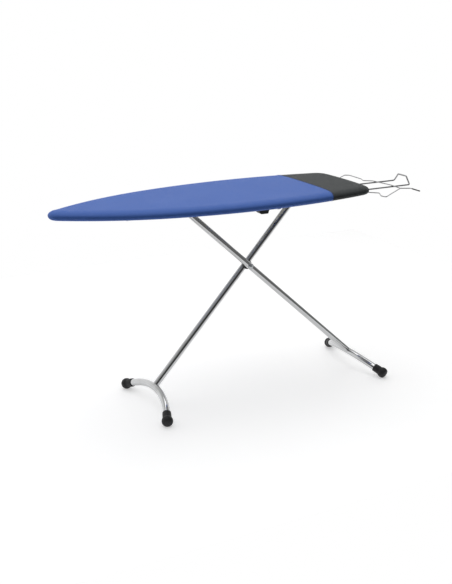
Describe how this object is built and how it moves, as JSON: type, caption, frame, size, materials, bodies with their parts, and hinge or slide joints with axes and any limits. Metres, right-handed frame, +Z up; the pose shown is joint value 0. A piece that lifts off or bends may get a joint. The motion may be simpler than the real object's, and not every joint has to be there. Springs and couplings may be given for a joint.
{
  "type": "ironing board",
  "caption": "Padded ironing board on a folding chromed scissor stand, with a height latch, a release lever and a wire iron rest at its square end.",
  "frame": {"origin": "on the floor, half way between the board's nose and the iron rest's far end, in the board's middle plane", "axes": "+X along the board towards its square end and iron rest, +Z up from the floor, Y across the board"},
  "size_m": [1.517, 0.4614, 0.8],
  "materials": {
    "blue_cloth": "satin cotton weave",
    "charcoal_cloth": "heat-resistant twill",
    "hem_cloth": "gathered cotton edge",
    "felt": "needled felt",
    "grey_enamel": "satin light-grey enamel",
    "zinc": "bright zinc plate",
    "spring_steel": "drawn spring wire",
    "chrome_wire": "bright chrome",
    "chrome_tube": "bright chrome",
    "black_plastic": "fine-textured moulding",
    "black_rubber": "matt rubber",
    "white_nylon": "natural nylon"
  },
  "bodies": {
    "board": {"cover_blue": "blue_cloth", "cover_charcoal": "charcoal_cloth", "cover_hem": "hem_cloth", "felt_pad": "felt", "steel_top": "grey_enamel", "rim_tube_near": "grey_enamel", "rim_tube_far": "grey_enamel", "strut_nose": "grey_enamel", "strut_middle": "grey_enamel", "strut_hinge": "grey_enamel", "strut_end": "grey_enamel", "rail_near": "zinc", "rail_far": "zinc", "rail_screws": "zinc", "hinge_bracket_near": "grey_enamel", "hinge_bracket_far": "grey_enamel", "latch_bracket": "zinc", "latch_pin": "zinc", "latch_spring": "spring_steel", "lever_bracket": "zinc", "lever_pin": "zinc", "rest_loop": "chrome_wire", "rest_cross_wire": "chrome_wire", "rest_side_wire": "chrome_wire", "rest_clip_near": "black_plastic", "rest_clip_far": "black_plastic", "rest_screws": "zinc"},
    "rear_legs": {"rear_leg": "chrome_tube", "rear_foot_bar": "chrome_tube", "rear_cap_near": "black_rubber", "rear_cap_far": "black_rubber", "hinge_shaft": "zinc", "hinge_end_caps": "black_plastic", "cross_bolt": "zinc", "cross_washer": "zinc", "cross_nut": "zinc", "cross_spacer": "black_plastic"},
    "front_legs": {"front_leg": "chrome_tube", "front_foot_bar": "chrome_tube", "front_cap_near": "black_rubber", "front_cap_far": "black_rubber", "slider_shaft": "zinc", "slider_roller_near": "white_nylon", "slider_roller_far": "white_nylon"},
    "latch": {"latch_plate": "zinc"},
    "lever": {"release_lever": "black_plastic"},
    "link": {"link_bar": "zinc"}
  },
  "joints": [
    {"name": "leg_fold", "type": "hinge", "parent": "board", "child": "rear_legs", "pos_m": [0.26081, 0, 0.767], "axis": [0, 1, 0], "range_deg": [-10, 43.3]},
    {"name": "scissor", "type": "hinge", "parent": "rear_legs", "child": "front_legs", "pos_m": [0.0246, 0, 0.5065], "axis": [0, 1, 0], "range_deg": [-81.29, 18.85]},
    {"name": "lever_squeeze", "type": "hinge", "parent": "board", "child": "lever", "pos_m": [0.0736, 0, 0.757], "axis": [0, 1, 0], "range_deg": [0, 7], "stiffness_Nm_per_rad": 1.2, "springref_deg": -8.59},
    {"name": "latch_lift", "type": "hinge", "parent": "board", "child": "latch", "pos_m": [-0.0014, 0, 0.772], "axis": [0, 1, 0], "range_deg": [0, 1.9]},
    {"name": "link_push", "type": "slide", "parent": "board", "child": "link", "axis": [-1, 0, 0], "range_m": [0, 0.0012]}
  ],
  "couplings": [
    {"joint": "scissor", "follows": "leg_fold", "ratio": -1.875},
    {"joint": "latch_lift", "follows": "lever_squeeze", "ratio": 0.27059},
    {"joint": "link_push", "follows": "lever_squeeze", "m_per_rad": 0.0092}
  ]
}
